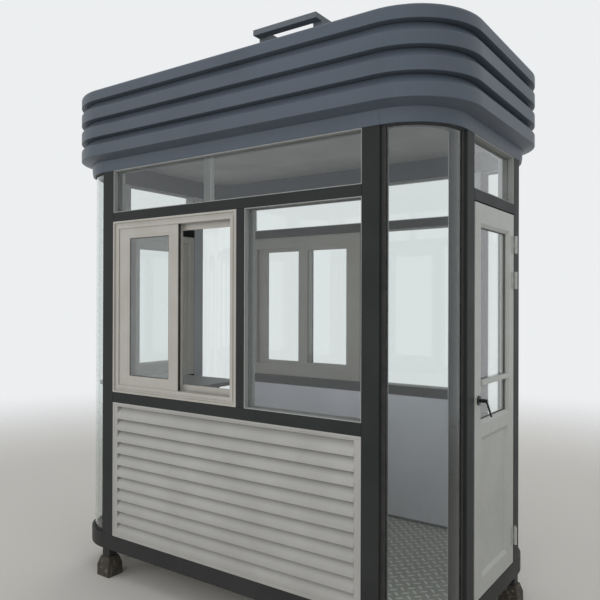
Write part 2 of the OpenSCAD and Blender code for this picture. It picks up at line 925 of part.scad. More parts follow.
foot_blocks();
legs();
base_beams();
base_corners();
floor_joists();
floor_plate();
wall_posts();
end_posts();
mullions();
sill_rails();
transom_rails();
head_beams();
head_corners();
ceiling_panel();
roof_core();
fascia_band_1();
fascia_band_2();
fascia_band_3();
fascia_band_4();
roof_deck();
roof_frame();
corner_glass();
transom_glass();
transom_glazing_bar();
fixed_glass();
front_window_frame();
front_sash_outer();
front_sash_inner();
front_sash_glass();
rear_window_frame();
rear_sash_outer();
rear_sash_inner();
rear_sash_glass();
louvre_panels();
lining_panels();
skirting();
desk_top();
desk_brackets();
door_stops();
frame_hinges();
door_leaf();
door_glass();
door_glazing_bar();
door_hinges();
door_roses();
door_lever();
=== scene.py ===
"""Security guard booth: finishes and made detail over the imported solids.

The scene is in metres, and the booth's classes hold millimetres. +Z is up, the front faces -Y,
the door end faces +X, and the origin is on the ground under the middle of the plan.
"""
import logging
import math
from collections.abc import Callable, Iterator, Sequence
from contextlib import contextmanager
from dataclasses import dataclass
from enum import Enum
from typing import Self

import bmesh
import bpy
from mathutils import Matrix, Vector


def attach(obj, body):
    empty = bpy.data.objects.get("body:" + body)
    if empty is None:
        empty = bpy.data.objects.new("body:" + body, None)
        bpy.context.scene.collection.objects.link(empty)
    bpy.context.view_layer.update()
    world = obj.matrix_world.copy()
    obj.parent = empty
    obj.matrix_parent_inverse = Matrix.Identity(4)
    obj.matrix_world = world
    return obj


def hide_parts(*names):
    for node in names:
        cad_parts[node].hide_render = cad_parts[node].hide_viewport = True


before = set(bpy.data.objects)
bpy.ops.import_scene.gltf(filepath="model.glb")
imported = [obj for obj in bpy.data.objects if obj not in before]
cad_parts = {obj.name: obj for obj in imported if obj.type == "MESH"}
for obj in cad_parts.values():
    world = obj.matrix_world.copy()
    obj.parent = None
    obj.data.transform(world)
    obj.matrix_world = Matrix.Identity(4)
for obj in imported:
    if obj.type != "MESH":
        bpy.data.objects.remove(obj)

log = logging.getLogger("booth")
Point = Sequence[float]
Colour = tuple[float, float, float, float]
Tree = bpy.types.NodeTree
Node = bpy.types.Node
Socket = bpy.types.NodeSocket

MM = 0.001
FACING = 0.9  # the least part along an axis of a normal that points that way
CLOSE = 0.1  # how near a face's middle is to its place, in millimetres
ROUND_OVER = 30.0  # the least angle at an edge, in degrees, that is rounded
SMOOTH_UNDER = 44.0  # the angle, in degrees, up to which an edge is shaded smooth


# Colour and nodes


def linear(colour: str) -> Colour:
    """Turns an sRGB hex colour into linear values.

    Args:
        colour: Six hex digits after a hash sign.

    Returns:
        Linear red, green and blue, with an alpha of 1.
    """
    parts = [int(colour[i : i + 2], 16) / 255 for i in (1, 3, 5)]
    values = [v / 12.92 if v <= 0.04045 else ((v + 0.055) / 1.055) ** 2.4 for v in parts]
    return (values[0], values[1], values[2], 1.0)


def add(
    tree: Tree, kind: str, sockets: dict[str | int, object] | None = None, **settings: object
) -> Node:
    """Adds a node, sets it up and links it.

    Args:
        tree: The node tree that gets the node.
        kind: The node's type name.
        sockets: Input name or number to a value, to an output socket to link from, or to a
            node whose first output is linked.
        **settings: The node's own properties.

    Returns:
        The new node.
    """
    node = tree.nodes.new(kind)
    for key, value in settings.items():
        setattr(node, key, value)
    for key, value in (sockets or {}).items():
        if isinstance(value, Node):
            value = value.outputs[0]
        if isinstance(value, Socket):
            tree.links.new(value, node.inputs[key])
        else:
            node.inputs[key].default_value = value
    return node


@dataclass(frozen=True)
class Patches:
    """Soft patches of one colour over another, by how many there are in a metre.

    fine and rough say how far they break up, span gives the noise between which they come
    in, and share is how much of the colour below they hide at most.
    """

    per_metre: float
    fine: float
    rough: float = 0.5
    span: tuple[float, float] = (0.0, 1.0)
    share: float = 1.0

    def lay(
        self, tree: Tree, place: Node | Socket, under: Colour | Socket, over: str
    ) -> tuple[Socket, Node]:
        """Adds the patches.

        Args:
            tree: The material's nodes.
            place: The coordinates that they follow.
            under: The colour that they lie on.
            over: Their own colour, in hex digits.

        Returns:
            The colour with its patches, and the noise that they follow.
        """
        noise = add(tree, "ShaderNodeTexNoise", {
            "Vector": place, "Scale": self.per_metre, "Detail": self.fine,
            "Roughness": self.rough})
        cover = add(tree, "ShaderNodeMapRange", {
            "Value": noise, "From Min": self.span[0], "From Max": self.span[1],
            "To Max": self.share})
        mixed = add(tree, "ShaderNodeMix", {"Factor": cover, 6: under, 7: linear(over)},
                    data_type="RGBA")
        return mixed.outputs[2], noise


class Finish:
    """A surface finish that turns itself into one material."""

    name: str

    def build(self, tree: Tree) -> Node:
        """Adds the finish's nodes and returns the shader."""
        raise NotImplementedError

    def material(self) -> bpy.types.Material:
        """Makes the finish's material the first time that it is asked for.

        Returns:
            The material.
        """
        known = bpy.data.materials.get(self.name)
        if known is not None:
            return known
        made = bpy.data.materials.new(self.name)
        made.use_nodes = True
        tree = made.node_tree
        tree.nodes.clear()
        add(tree, "ShaderNodeOutputMaterial", {"Surface": self.build(tree)})
        return made


@dataclass(frozen=True)
class PowderCoat(Finish):
    """Polyester powder coat baked on steel or aluminium: satin, with a faint orange peel.

    It gives the eye one even colour with broad soft highlights, slightly blotched by
    handling, with pale road dust that thickens towards the ground.
    """

    name: str
    colour: str
    blotch: str
    blotch_mm: float = 260.0
    dust: str = "#8C867B"
    dust_share: float = 0.25
    dust_mm: tuple[float, float] = (700.0, 100.0)
    grain_mm: float = 45.0
    streak_share: float = 0.1
    streak_scale: tuple[float, float, float] = (60.0, 60.0, 2.2)
    peel_mm: float = 3.0
    peel_depth_mm: float = 0.05
    roughness: float = 0.42
    shine: float = 0.5

    def build(self, tree: Tree) -> Node:
        """Adds the coat's blotches, rain streaks, dust and peel.

        Args:
            tree: The material's nodes.

        Returns:
            The shader.
        """
        place = add(tree, "ShaderNodeTexCoord").outputs["Object"]
        blotched, blotch = Patches(1000 / self.blotch_mm, 5.0, span=(0.35, 0.65)).lay(
            tree, place, linear(self.colour), self.blotch)
        squeezed = add(tree, "ShaderNodeMapping", {"Vector": place, "Scale": self.streak_scale})
        streaked, _ = Patches(1.0, 3.0, span=(0.55, 0.8), share=self.streak_share).lay(
            tree, squeezed, blotched, self.dust)
        height = add(tree, "ShaderNodeSeparateXYZ", {"Vector": place}).outputs["Z"]
        low = add(tree, "ShaderNodeMapRange", {
            "Value": height, "From Min": self.dust_mm[0] * MM,
            "From Max": self.dust_mm[1] * MM, "To Max": self.dust_share})
        grains = add(tree, "ShaderNodeTexNoise", {
            "Vector": place, "Scale": 1000 / self.grain_mm, "Detail": 6.0, "Roughness": 0.65})
        dusted = add(tree, "ShaderNodeMath", {0: low, 1: grains}, operation="MULTIPLY")
        colour = add(tree, "ShaderNodeMix", {
            "Factor": dusted, 6: streaked, 7: linear(self.dust)}, data_type="RGBA")
        peel = add(tree, "ShaderNodeTexNoise", {
            "Vector": place, "Scale": 1000 / self.peel_mm, "Detail": 2.0})
        bump = add(tree, "ShaderNodeBump", {
            "Height": peel, "Distance": self.peel_depth_mm * MM, "Strength": 0.6})
        rough = add(tree, "ShaderNodeMapRange", {
            "Value": blotch, "From Min": 0.3, "From Max": 0.7,
            "To Min": self.roughness - 0.06, "To Max": self.roughness + 0.08})
        return add(tree, "ShaderNodeBsdfPrincipled", {
            "Base Color": colour.outputs[2], "Roughness": rough,
            "Specular IOR Level": self.shine, "Normal": bump})


@dataclass(frozen=True)
class ExtrudedPvc(Finish):
    """Hard PVC, extruded and welded at the corners: smooth, slightly soft in its shine.

    It gives the eye a warm or neutral off-white, faintly yellowed in patches and greyed by
    the smudges of hands and dust.
    """

    name: str
    colour: str
    aged: str
    patch_mm: float = 180.0
    smudge: str = "#6E6A60"
    smudge_mm: float = 38.0
    roughness: float = 0.36

    def build(self, tree: Tree) -> Node:
        """Adds the plastic's faint yellowing, smudges and soft shine.

        Args:
            tree: The material's nodes.

        Returns:
            The shader.
        """
        place = add(tree, "ShaderNodeTexCoord").outputs["Object"]
        aged, _ = Patches(1000 / self.patch_mm, 4.0, span=(0.4, 0.7), share=0.8).lay(
            tree, place, linear(self.colour), self.aged)
        colour, smudges = Patches(1000 / self.smudge_mm, 7.0, 0.7, (0.58, 0.85), 0.16).lay(
            tree, place, aged, self.smudge)
        rough = add(tree, "ShaderNodeMapRange", {
            "Value": smudges, "From Min": 0.3, "From Max": 0.8,
            "To Min": self.roughness - 0.05, "To Max": self.roughness + 0.14})
        return add(tree, "ShaderNodeBsdfPrincipled", {
            "Base Color": colour, "Roughness": rough, "IOR": 1.53})


@dataclass(frozen=True)
class FloatGlass(Finish):
    """Clear soda-lime float glass: almost colourless, greenish through its edges.

    It gives the eye a mirror of the surroundings at grazing angles and lets lamps through,
    so that the room behind is lit.
    """

    name: str
    tint: str = "#F5F8F7"
    lamp_tint: str = "#F7F9F8"
    roughness: float = 0.02

    def build(self, tree: Tree) -> Node:
        """Adds the glass, clear to rays that come from lamps.

        Args:
            tree: The material's nodes.

        Returns:
            The shader.
        """
        glass = add(tree, "ShaderNodeBsdfPrincipled", {
            "Base Color": linear(self.tint), "Roughness": self.roughness, "IOR": 1.5,
            "Transmission Weight": 1.0})
        clear = add(tree, "ShaderNodeBsdfTransparent", {"Color": linear(self.lamp_tint)})
        path = add(tree, "ShaderNodeLightPath")
        return add(tree, "ShaderNodeMixShader", {
            0: path.outputs["Is Shadow Ray"], 1: glass, 2: clear})


@dataclass(frozen=True)
class TreadPlate(Finish):
    """Rolled aluminium tread plate: dull mill finish with raised lozenges worn brighter.

    It gives the eye rows of short bright dashes that turn at each step of the pattern.
    The rolled pitch is about 30 mm and is drawn at 46 mm, so that it shows. Each lozenge
    falls off slowly along its length and fast across it.
    """

    name: str = "rolled_tread_plate"
    pitch_mm: float = 46.0
    plate: str = "#C4C3BA"
    worn: str = "#F0EFE7"
    grime: str = "#9C9A91"
    along: float = 4.6
    across: float = 38.0
    flank: tuple[float, float] = (1.25, 0.6)
    rise_mm: float = 1.5

    def build(self, tree: Tree) -> Node:
        """Adds the lozenges as height and brightness over the mill finish.

        Args:
            tree: The material's nodes.

        Returns:
            The shader.
        """
        place = add(tree, "ShaderNodeTexCoord").outputs["Object"]
        turned = add(tree, "ShaderNodeMapping", {
            "Vector": place, "Rotation": (0.0, 0.0, math.radians(45)),
            "Scale": (1000 / self.pitch_mm,) * 3})
        cell = add(tree, "ShaderNodeVectorMath", {0: turned}, operation="FLOOR")
        count = add(tree, "ShaderNodeVectorMath", {0: cell, 1: (1.0, 1.0, 0.0)},
                    operation="DOT_PRODUCT")
        odd = add(tree, "ShaderNodeMath", {0: count.outputs["Value"], 1: 1.0},
                  operation="PINGPONG")
        corner = add(tree, "ShaderNodeVectorMath", {0: turned}, operation="FRACTION")
        middle = add(tree, "ShaderNodeVectorMath", {0: corner, 1: (0.5, 0.5, 0.5)},
                     operation="SUBTRACT")
        squares = add(tree, "ShaderNodeVectorMath", {0: middle, 1: middle}, operation="MULTIPLY")
        slopes = add(tree, "ShaderNodeMix", {
            "Factor": odd, 4: (self.along, self.across, 0.0),
            5: (self.across, self.along, 0.0)}, data_type="VECTOR").outputs[1]
        shape = add(tree, "ShaderNodeVectorMath", {0: squares, 1: slopes},
                    operation="DOT_PRODUCT").outputs["Value"]
        raised = add(tree, "ShaderNodeMapRange", {
            "Value": shape, "From Min": self.flank[0], "From Max": self.flank[1]})
        dulled, _ = Patches(14.0, 6.0).lay(tree, place, linear(self.plate), self.grime)
        colour = add(tree, "ShaderNodeMix", {"Factor": raised, 6: dulled, 7: linear(self.worn)},
                     data_type="RGBA")
        bump = add(tree, "ShaderNodeBump", {
            "Height": raised, "Distance": self.rise_mm * MM, "Strength": 1.0})
        return add(tree, "ShaderNodeBsdfPrincipled", {
            "Base Color": colour.outputs[2], "Metallic": 0.35, "Roughness": 0.36,
            "Normal": bump})


@dataclass(frozen=True)
class Speckled(Finish):
    """A matt material of one colour with specks of another, which may stand in relief."""

    name: str
    colour: str
    specks: str
    patches: Patches
    roughness: float
    relief_mm: float = 0.0

    def build(self, tree: Tree) -> Node:
        """Adds the specks and their relief.

        Args:
            tree: The material's nodes.

        Returns:
            The shader.
        """
        place = add(tree, "ShaderNodeTexCoord").outputs["Object"]
        colour, noise = self.patches.lay(tree, place, linear(self.colour), self.specks)
        sockets = {"Base Color": colour, "Roughness": self.roughness}
        if self.relief_mm:
            sockets["Normal"] = add(tree, "ShaderNodeBump", {
                "Height": noise, "Distance": self.relief_mm * MM, "Strength": 0.7})
        return add(tree, "ShaderNodeBsdfPrincipled", sockets)


@dataclass(frozen=True)
class MouldedRubber(Speckled):
    """EPDM strip, extruded in black, grey or a pale shade: matt, uneven where dust sticks."""

    name: str = "epdm_gasket"
    colour: str = "#141414"
    specks: str = "#3A3937"
    patches: Patches = Patches(25.0, 5.0)
    roughness: float = 0.75


@dataclass(frozen=True)
class CastBlock(Speckled):
    """Cast foot block with a worn dark coat: grainy, chipped pale on its edges."""

    name: str = "cast_foot_block"
    colour: str = "#38342E"
    specks: str = "#7A7266"
    patches: Patches = Patches(42.0, 8.0, rough=0.7, span=(0.52, 0.72))
    roughness: float = 0.8
    relief_mm: float = 2.0


@dataclass(frozen=True)
class Laminate(Speckled):
    """High-pressure laminate on chipboard: fine fleck in a plain matt sheet."""

    name: str = "fleck_laminate"
    colour: str = "#9A9C9B"
    specks: str = "#6F7373"
    patches: Patches = Patches(300.0, 2.0, span=(0.55, 0.65), share=0.6)
    roughness: float = 0.5


class Finishes:
    """The booth's finishes, by what they are on."""

    FRAME = PowderCoat("bronze_black_powder_coat", "#282A2A", "#2E3030", dust="#6E6A61",
                       dust_share=0.12, streak_share=0.02, roughness=0.5, shine=0.14)
    FASCIA = PowderCoat("charcoal_powder_coat", "#4A525B", "#515963", dust="#7C8289",
                        roughness=0.45, streak_share=0.04, blotch_mm=520.0, shine=0.3)
    BLACK = PowderCoat("black_stove_enamel", "#131313", "#1C1B1A", roughness=0.35,
                       streak_share=0.04)
    LOUVRE = PowderCoat("white_coated_aluminium", "#A4A39F", "#9D9C98", dust="#77736A",
                        dust_share=0.3, roughness=0.5, streak_share=0.04)
    LINING = PowderCoat("white_lining_sheet", "#DEDDE6", "#D6D6DF", dust="#8A8C90",
                        roughness=0.4, streak_share=0.03)
    COVER = PowderCoat("grey_post_cover", "#D0D4D8", "#C8CCD1", roughness=0.45,
                       streak_share=0.02)
    SKIRTING = PowderCoat("grey_skirting_coat", "#3E444C", "#454B54", roughness=0.5)
    CEILING = PowderCoat("grey_ceiling_sheet", "#B9B5B7", "#AEABAE", roughness=0.55,
                         streak_share=0.0)
    BAR = PowderCoat("pale_glazing_bar_coat", "#B9BBBA", "#AFB1B1", roughness=0.45)
    ROOF_FRAME = PowderCoat("grey_steel_paint", "#555C62", "#5B6268", roughness=0.55)
    WINDOW = ExtrudedPvc("ivory_window_pvc", "#A8A59E", "#A19C94")
    # the window PVC painted lighter for faces inside the booth: painted light where the room gets
    # little light
    INSIDE = ExtrudedPvc("white_window_pvc_inside", "#DAD8D3", "#D2CFC8")
    DOOR = ExtrudedPvc("white_door_pvc", "#A9ABA6", "#A0A29C")
    GLASS = FloatGlass("clear_float_glass")
    CORNER = FloatGlass("bent_corner_glass", tint="#F1F6F4", roughness=0.03)
    RUBBER = MouldedRubber()
    # pale partly as real sealant and partly as a painted highlight along the glass edges
    SEAL_AND_GLINT = MouldedRubber("pale_glazing_channel", "#A0A2A1", "#8E8F8B")
    GASKET = MouldedRubber("grey_glazing_gasket", "#4A4A48", "#605F5B")
    FLOOR = TreadPlate()
    FOOT = CastBlock()
    DESK = Laminate()


# Modelling, with Blender's own tools


class Side(Enum):
    """A wall, by the turn about Z in degrees that brings the front wall's pieces to it."""

    FRONT = 0
    REAR = 180
    LEFT_END = -90
    RIGHT_END = 90

    @property
    def word(self) -> str:
        """The wall's name, as its pieces' names have it."""
        return self.name.lower()

    @property
    def reach(self) -> float:
        """Distance in millimetres from the middle of the plan to the wall's outer face."""
        return 680.0 if self in (Side.FRONT, Side.REAR) else 1225.0

    @property
    def half_bay(self) -> float:
        """Distance in millimetres from the wall's middle to the posts at its ends."""
        return 845.0 if self in (Side.FRONT, Side.REAR) else 300.0


@dataclass(frozen=True)
class Rect:
    """An upright rectangle on a wall, in millimetres."""

    left: float
    right: float
    low: float
    high: float

    def inset(self, by: float, ends: float | None = None) -> "Rect":
        """Returns the rectangle drawn in by a width, and at foot and top by ends if given."""
        up = by if ends is None else ends
        return Rect(self.left + by, self.right - by, self.low + up, self.high - up)

    def flipped(self) -> "Rect":
        """Returns the rectangle as the opposite wall has it."""
        return Rect(-self.right, -self.left, self.low, self.high)

    @property
    def middle(self) -> tuple[float, float]:
        """The place of its middle, across and up."""
        return ((self.left + self.right) / 2, (self.low + self.high) / 2)


Profile = Sequence[tuple[float, float]]
Steps = Sequence[tuple[float | Rect, float]]

WINDOW_BAY = Rect(-845.0, 115.0, 1105.0, 2116.0)
FIXED_BAY = Rect(167.0, 845.0, 1105.0, 2116.0)
END_BAY = Rect(-300.0, 300.0, 1105.0, 2116.0)
JAMB_SASH = Rect(-811.0, -312.0, 1130.8, 2090.2)
SHUT_SASH = Rect(-418.0, 81.0, 1130.8, 2090.2)
TRANSOM = (2170.0, 2420.0)
POST = 90.0


class Workpiece:
    """A mesh that is shaped with Blender's own modelling tools.

    Lengths are millimetres in wall coordinates: X runs to the right of someone who faces the
    wall from outside, Y goes inwards from its outer face, and Z is up. stand() then puts the
    piece on its wall.
    """

    def __init__(self, holder: bpy.types.Object) -> None:
        """Takes up an object, to shape it."""
        self.object = holder

    @classmethod
    def placed(cls, name: str) -> Self:
        """Names the primitive that was just added, and puts its place in its mesh.

        Args:
            name: The piece's name.

        Returns:
            The primitive, ready to shape.
        """
        bpy.ops.object.transform_apply()
        bpy.context.object.name = name
        return cls(bpy.context.object)

    @classmethod
    def block(cls, name: str, low: Point, high: Point) -> Self:
        """Starts from a block.

        Args:
            name: The piece's name.
            low: The block's lowest corner.
            high: The block's highest corner.

        Returns:
            The block, ready to shape.
        """
        bpy.ops.mesh.primitive_cube_add(
            size=1.0,
            location=[(a + b) / 2 * MM for a, b in zip(low, high)],
            scale=[(b - a) * MM for a, b in zip(low, high)],
        )
        return cls.placed(name)

    @classmethod
    def ring(
        cls, name: str, outline: Rect, start: float, end: float, front: Steps, back: Steps
    ) -> Self:
        """Models a rectangular frame whose two faces follow a stepped profile to one hole.

        Args:
            name: The piece's name.
            outline: The frame's outer edge.
            start: Depth of its front face.
            end: Depth of its back face.
            front: The front's steps from the outside in, each a rectangle or an inset from
                the outline, and a depth.
            back: The same for the back.

        Returns:
            The frame, ready to soften.
        """
        piece = cls.block(name, (outline.left, start, outline.low),
                          (outline.right, end, outline.high))
        hole = outline
        with piece.shaping():
            for at, steps in ((start, front), (end, back)):
                piece.pick(lambda middle, normal: abs(middle.y - at) < CLOSE
                           and abs(normal.y) > FACING)
                for to, depth in steps:
                    hole = to if isinstance(to, Rect) else outline.inset(to)
                    piece.step(hole, depth)
            piece.open_through(*hole.middle)
        return piece

    @classmethod
    def taken(cls, name: str, node: str) -> Self:
        """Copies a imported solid, and makes whole faces of its loose triangles.

        Args:
            name: The piece's name.
            node: The node that is copied.

        Returns:
            The copy, which has its place already.
        """
        holder = bpy.data.objects.new(name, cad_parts[node].data.copy())
        bpy.context.scene.collection.objects.link(holder)
        holder.data.materials.clear()
        piece = cls(holder)
        with piece.shaping():
            bpy.ops.mesh.select_all(action="SELECT")
            bpy.ops.mesh.remove_doubles(threshold=0.02 * MM)
            bpy.ops.mesh.normals_make_consistent(inside=False)
            bpy.ops.mesh.dissolve_limited(angle_limit=math.radians(0.5))
        return piece

    @classmethod
    def swept(
        cls, name: str, centre: Point, radii: tuple[float, float], heights: tuple[float, float],
        start: float, sweep: float,
    ) -> Self:
        """Sweeps a rectangle about an upright axis, in flats of about 4 degrees.

        Args:
            name: The piece's name.
            centre: The axis's place in plan, in the shared frame.
            radii: The rectangle's nearest and farthest distance from the axis.
            heights: The rectangle's foot and top.
            start: The angle in degrees that the sweep starts at, anticlockwise from +X.
            sweep: The angle in degrees that it covers.

        Returns:
            The swept bar, which has its place already.
        """
        angle = math.radians(start)
        reach = sum(radii) / 2
        bpy.ops.mesh.primitive_plane_add(
            size=MM, rotation=(math.pi / 2, 0.0, angle),
            location=[v * MM for v in (centre[0] + reach * math.cos(angle),
                                       centre[1] + reach * math.sin(angle), sum(heights) / 2)],
        )
        bpy.context.object.scale = (radii[1] - radii[0], heights[1] - heights[0], 1.0)
        piece = cls.placed(name)
        with piece.shaping():
            bpy.ops.mesh.select_all(action="SELECT")
            bpy.ops.mesh.spin(steps=max(2, round(sweep / 4)), angle=math.radians(-sweep),
                              center=(centre[0] * MM, centre[1] * MM, 0.0), axis=(0.0, 0.0, 1.0))
            bpy.ops.mesh.select_all(action="SELECT")
            bpy.ops.mesh.remove_doubles(threshold=0.01 * MM)
            bpy.ops.mesh.normals_make_consistent(inside=False)
        return piece

    def choose(self) -> None:
        """Selects this piece alone, in object mode."""
        bpy.ops.object.select_all(action="DESELECT")
        self.object.select_set(True)
        bpy.context.view_layer.objects.active = self.object

    @contextmanager
    def shaping(self) -> Iterator[None]:
        """Opens the piece in edit mode for as long as the block lasts."""
        self.choose()
        bpy.ops.object.mode_set(mode="EDIT")
        yield
        bpy.ops.object.mode_set(mode="OBJECT")

    def pick(self, test: Callable[[Vector, Vector], bool]) -> None:
        """Selects the faces that pass a test, and nothing else.

        Args:
            test: Takes a face's middle in millimetres, and its normal.
        """
        bpy.ops.mesh.select_mode(type="FACE")
        bpy.ops.mesh.select_all(action="DESELECT")
        shape = bmesh.from_edit_mesh(self.object.data)
        found = 0
        for face in shape.faces:
            points = [corner.co for corner in face.verts]
            if test(sum(points, Vector()) / len(points) / MM, face.normal):
                face.select_set(True)
                found += 1
        bmesh.update_edit_mesh(self.object.data)
        if not found:
            raise ValueError(f"{self.object.name}: nothing passed the test")

    def step(self, to: Rect, depth: float) -> None:
        """Extrudes the picked upright face on to another rectangle.

        Args:
            to: The rectangle that the face then fills.
            depth: The depth that it then lies at.
        """
        shape = bmesh.from_edit_mesh(self.object.data)
        points = [corner.co / MM for face in shape.faces if face.select for corner in face.verts]
        low, high = (Vector([end(p[k] for p in points) for k in range(3)]) for end in (min, max))
        goal = Vector((to.middle[0], depth, to.middle[1]))
        bpy.ops.mesh.extrude_region_move(
            TRANSFORM_OT_translate={"value": (goal - (low + high) / 2) * MM})
        bpy.ops.transform.resize(
            value=((to.right - to.left) / (high.x - low.x), 1.0,
                   (to.high - to.low) / (high.z - low.z)),
            center_override=goal * MM,
        )

    def open_through(self, across: float, up: float) -> None:
        """Opens a hole between the front's and the back's faces that have their middle there.

        Args:
            across: The place of the hole's middle across the wall.
            up: Its height.
        """
        self.pick(lambda middle, normal: abs(normal.y) > FACING
                  and abs(middle.x - across) < CLOSE and abs(middle.z - up) < CLOSE)
        bpy.ops.mesh.bridge_edge_loops()

    def rise(self, *moves: Point) -> None:
        """Extrudes the picked faces by one move after another."""
        for move in moves:
            bpy.ops.mesh.extrude_region_move(
                TRANSFORM_OT_translate={"value": [v * MM for v in move]})

    def raise_inside(self, border: float, height: float) -> None:
        """Insets the picked faces by a border, and lifts what lies inside by a height."""
        bpy.ops.mesh.inset(thickness=border * MM, depth=0.0)
        bpy.ops.mesh.inset(thickness=height * 0.3 * MM, depth=height * MM)

    def cut(self, at: Point, normal: Point) -> None:
        """Cuts new edges round the whole piece where a plane meets it."""
        bpy.ops.mesh.select_all(action="SELECT")
        bpy.ops.mesh.bisect(plane_co=[v * MM for v in at], plane_no=normal)

    def soften(self, width: float, segments: int = 2) -> Self:
        """Rounds the sharp edges and smooths the shading, and leaves the flat faces flat.

        Args:
            width: How far each rounding reaches on to its faces, in millimetres.
            segments: How many strips make up the round.

        Returns:
            The same piece.
        """
        self.choose()
        round_off = self.object.modifiers.new("round_off", "BEVEL")
        round_off.width = width * MM
        round_off.segments = segments
        round_off.limit_method = "ANGLE"
        round_off.angle_limit = math.radians(ROUND_OVER)
        round_off.use_clamp_overlap = False
        bpy.ops.object.modifier_apply(modifier="round_off")
        bpy.ops.object.shade_smooth_by_angle(angle=math.radians(SMOOTH_UNDER))
        flat = self.object.modifiers.new("flat_faces", "WEIGHTED_NORMAL")
        flat.keep_sharp = True
        bpy.ops.object.modifier_apply(modifier="flat_faces")
        return self

    def shifted(self, name: str, by: Point) -> "Workpiece":
        """Copies the piece, mesh and all, to another place.

        Args:
            name: The copy's name.
            by: How far the copy is from this piece.

        Returns:
            The copy.
        """
        holder = self.object.copy()
        holder.data = self.object.data.copy()
        holder.name = name
        bpy.context.scene.collection.objects.link(holder)
        made = Workpiece(holder)
        made.choose()
        holder.location = [v * MM for v in by]
        bpy.ops.object.transform_apply()
        return made

    def join(self, others: Sequence["Workpiece"]) -> Self:
        """Takes other pieces into this one.

        Args:
            others: The pieces that it takes in.

        Returns:
            The same piece.
        """
        self.choose()
        for other in others:
            other.object.select_set(True)
        bpy.ops.object.join()
        return self

    def stand(self, side: Side) -> Self:
        """Puts the piece on its wall and leaves its object at the origin.

        Args:
            side: The wall.

        Returns:
            The same piece.
        """
        self.choose()
        turn = math.radians(side.value)
        self.object.rotation_euler = (0.0, 0.0, turn)
        self.object.location = Matrix.Rotation(turn, 3, "Z") @ Vector((0.0, -side.reach * MM, 0.0))
        bpy.ops.object.transform_apply()
        return self

    def finish(self, finish: Finish, slot: str, *nodes: str, body: str = "booth") -> None:
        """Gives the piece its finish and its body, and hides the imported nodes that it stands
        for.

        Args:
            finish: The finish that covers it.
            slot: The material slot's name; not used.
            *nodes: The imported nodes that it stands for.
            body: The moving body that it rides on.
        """
        self.object.data.materials.clear()
        self.object.data.materials.append(finish.material())
        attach(self.object, body)
        if nodes:
            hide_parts(*nodes)
        log.info("%s: %d faces, on %s, for %s", self.object.name, len(self.object.data.polygons),
                 body, ", ".join(nodes) or "nothing packed")


# The booth's pieces


@dataclass(frozen=True)
class SoftEdges:
    """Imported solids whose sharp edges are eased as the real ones' are, each by its own width."""

    finish: Finish
    slot: str
    widths: dict[str, float]
    body: str = "booth"
    segments: int = 2

    def build(self) -> None:
        """Makes the eased copy that stands for each node."""
        for node, width in self.widths.items():
            Workpiece.taken(f"{node}_eased", node).soften(width, self.segments).finish(
                self.finish, self.slot, node, body=self.body)


SOFT_EDGES = (
    SoftEdges(Finishes.FOOT, "foot_blocks", {"foot_blocks": 3.0}, segments=3),
    SoftEdges(Finishes.FRAME, "frame_paint", {
        "legs": 3.0, "base_beams": 2.5, "base_corners": 2.5, "wall_posts": 3.0,
        "end_posts": 3.0, "mullions": 2.5, "sill_rails": 2.5, "transom_rails": 2.5}),
    SoftEdges(Finishes.FASCIA, "fascia_paint", {
        "fascia_band_1": 2.5, "fascia_band_2": 2.5, "fascia_band_3": 2.5, "fascia_band_4": 2.5,
        "head_beams": 1.5, "head_corners": 1.5}),
    SoftEdges(Finishes.ROOF_FRAME, "fascia_paint", {"roof_frame": 2.0}),
    SoftEdges(Finishes.BAR, "glazing_bar", {"transom_glazing_bar": 2.5}),
    SoftEdges(Finishes.SKIRTING, "skirting", {"skirting": 2.0}),
    SoftEdges(Finishes.RUBBER, "stop_strip", {"door_stops": 3.0}),
    SoftEdges(Finishes.DESK, "desk", {"desk_top": 2.0}),
    SoftEdges(Finishes.BLACK, "black_metal", {"desk_brackets": 2.0}),
    SoftEdges(Finishes.DOOR, "door_upvc", {"door_glazing_bar": 4.0}, body="door"),
    SoftEdges(Finishes.DOOR, "hinge_metal", {"frame_hinges": 0.8}),
    SoftEdges(Finishes.DOOR, "hinge_metal", {"door_hinges": 0.8}, body="door"),
    SoftEdges(Finishes.BLACK, "black_metal", {"door_roses": 1.5}, body="door"),
    SoftEdges(Finishes.BLACK, "black_metal", {"door_lever": 1.5}, body="door_handle"),
)

OTHER_NODES = (
    (Finishes.FRAME, ("floor_joists",)),
    (Finishes.FLOOR, ("floor_plate",)),
    (Finishes.CEILING, ("ceiling_panel", "roof_core")),
    (Finishes.FASCIA, ("roof_deck",)),
    (Finishes.CORNER, ("corner_glass",)),
    (Finishes.GLASS, ("transom_glass", "fixed_glass", "front_sash_glass", "rear_sash_glass",
                      "door_glass")),
    (Finishes.LINING, ("lining_panels",)),
    (Finishes.WINDOW, ("front_window_frame", "front_sash_outer", "front_sash_inner",
                       "rear_window_frame", "rear_sash_outer", "rear_sash_inner")),
    (Finishes.LOUVRE, ("louvre_panels",)),
    (Finishes.DOOR, ("door_leaf",)),
)


